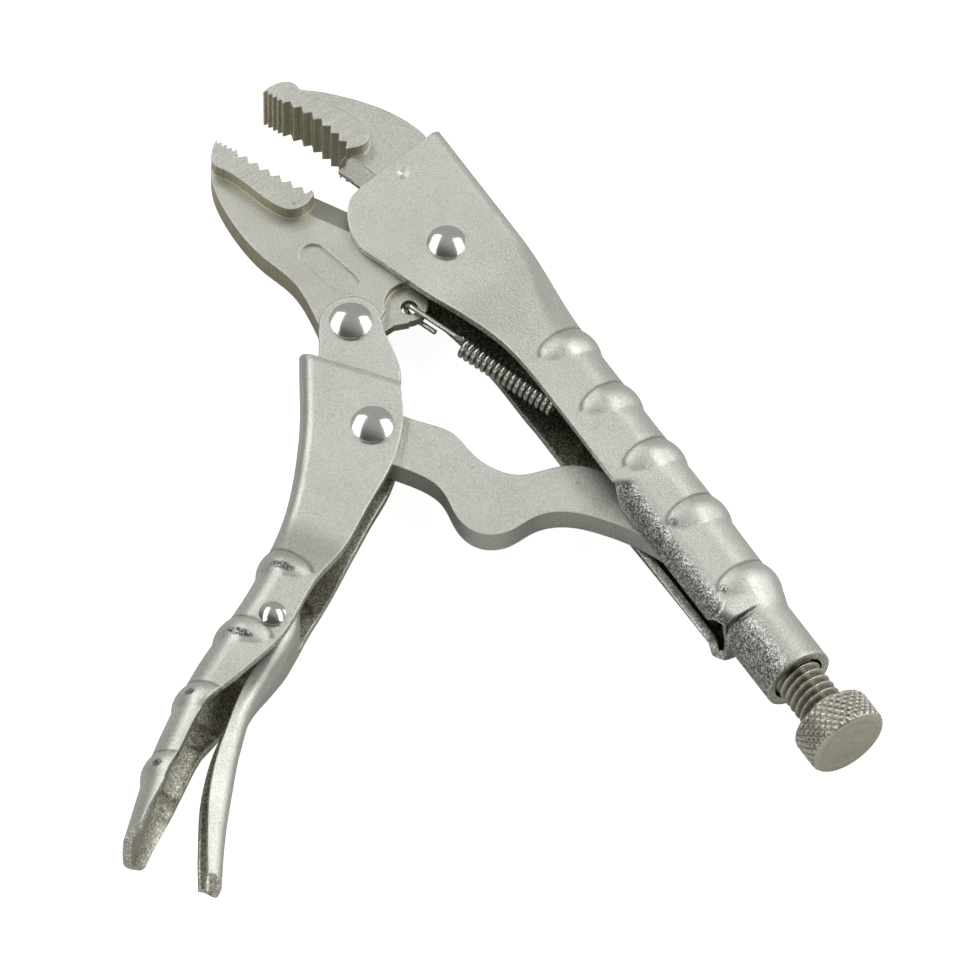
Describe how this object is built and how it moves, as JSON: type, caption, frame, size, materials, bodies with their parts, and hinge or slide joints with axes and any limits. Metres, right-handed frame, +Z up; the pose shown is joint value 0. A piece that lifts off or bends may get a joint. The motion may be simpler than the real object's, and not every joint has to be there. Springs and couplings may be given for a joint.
{
  "type": "locking pliers",
  "caption": "Curved-jaw locking pliers with toothed jaws, wire cutter, folded steel handles, toggle link, release lever, return spring and knurled adjusting screw.",
  "frame": {"origin": "middle of the tool's footprint, on the table it lies on", "axes": "+X along the adjusting screw towards its knob, +Y away from the lower handle, +Z up through the pivots"},
  "size_m": [0.1734, 0.132, 0.02],
  "materials": {
    "plated_sheet": "satin nickel plate on pressed sheet steel",
    "plated_plate": "satin nickel plate on a flat steel bar",
    "forged_jaw": "blasted and plated forged steel with ground side faces",
    "screw_steel": "plated turned steel",
    "spring_wire": "bright drawn wire",
    "rivet_steel": "polished domed heads"
  },
  "bodies": {
    "upper_body": {"upper_handle": "plated_sheet", "fixed_jaw": "forged_jaw", "jaw_pivot_rivet": "rivet_steel", "return_spring": "spring_wire"},
    "jaw_body": {"movable_jaw": "forged_jaw"},
    "lower_body": {"lower_handle": "plated_sheet", "handle_pivot_rivet": "rivet_steel", "link_pivot_rivet": "rivet_steel", "lever_pivot_rivet": "rivet_steel"},
    "link_body": {"toggle_link": "plated_plate"},
    "lever_body": {"release_lever": "plated_sheet"},
    "screw_body": {"adjusting_screw": "screw_steel"},
    "knob_body": {"screw_knob": "screw_steel"}
  },
  "joints": [
    {"name": "handle_close", "type": "hinge", "parent": "jaw_body", "child": "lower_body", "pos_m": [-0.03624, 0.0292, 0.00999], "axis": [0, 0, 1], "range_deg": [0, 36.7]},
    {"name": "jaw_close", "type": "hinge", "parent": "upper_body", "child": "jaw_body", "pos_m": [-0.04114, 0.0531, 0.00999], "axis": [0, 0, -1], "range_deg": [0, 14], "deforming": ["return_spring"]},
    {"name": "link_swing", "type": "hinge", "parent": "lower_body", "child": "link_body", "pos_m": [-0.01514, 0.0202, 0.00999], "axis": [0, 0, -1], "range_deg": [0, 30.1]},
    {"name": "lever_press", "type": "hinge", "parent": "lower_body", "child": "lever_body", "pos_m": [0.01106, -0.0182, 0.00999], "axis": [0, 0, -1], "range_deg": [0, 10]},
    {"name": "screw_advance", "type": "slide", "parent": "upper_body", "child": "screw_body", "axis": [1, 0, 0], "range_m": [0, 0.0081]},
    {"name": "knob_turn", "type": "hinge", "parent": "screw_body", "child": "knob_body", "pos_m": [0.08386, 0.0566, 0.00999], "axis": [1, 0, 0], "range_deg": [0, 1800]}
  ],
  "couplings": [
    {"joint": "jaw_close", "follows": "handle_close", "ratio": 0.38096},
    {"joint": "link_swing", "follows": "handle_close", "ratio": 0.81669},
    {"joint": "screw_advance", "follows": "knob_turn", "m_per_rad": 0.00025465}
  ]
}
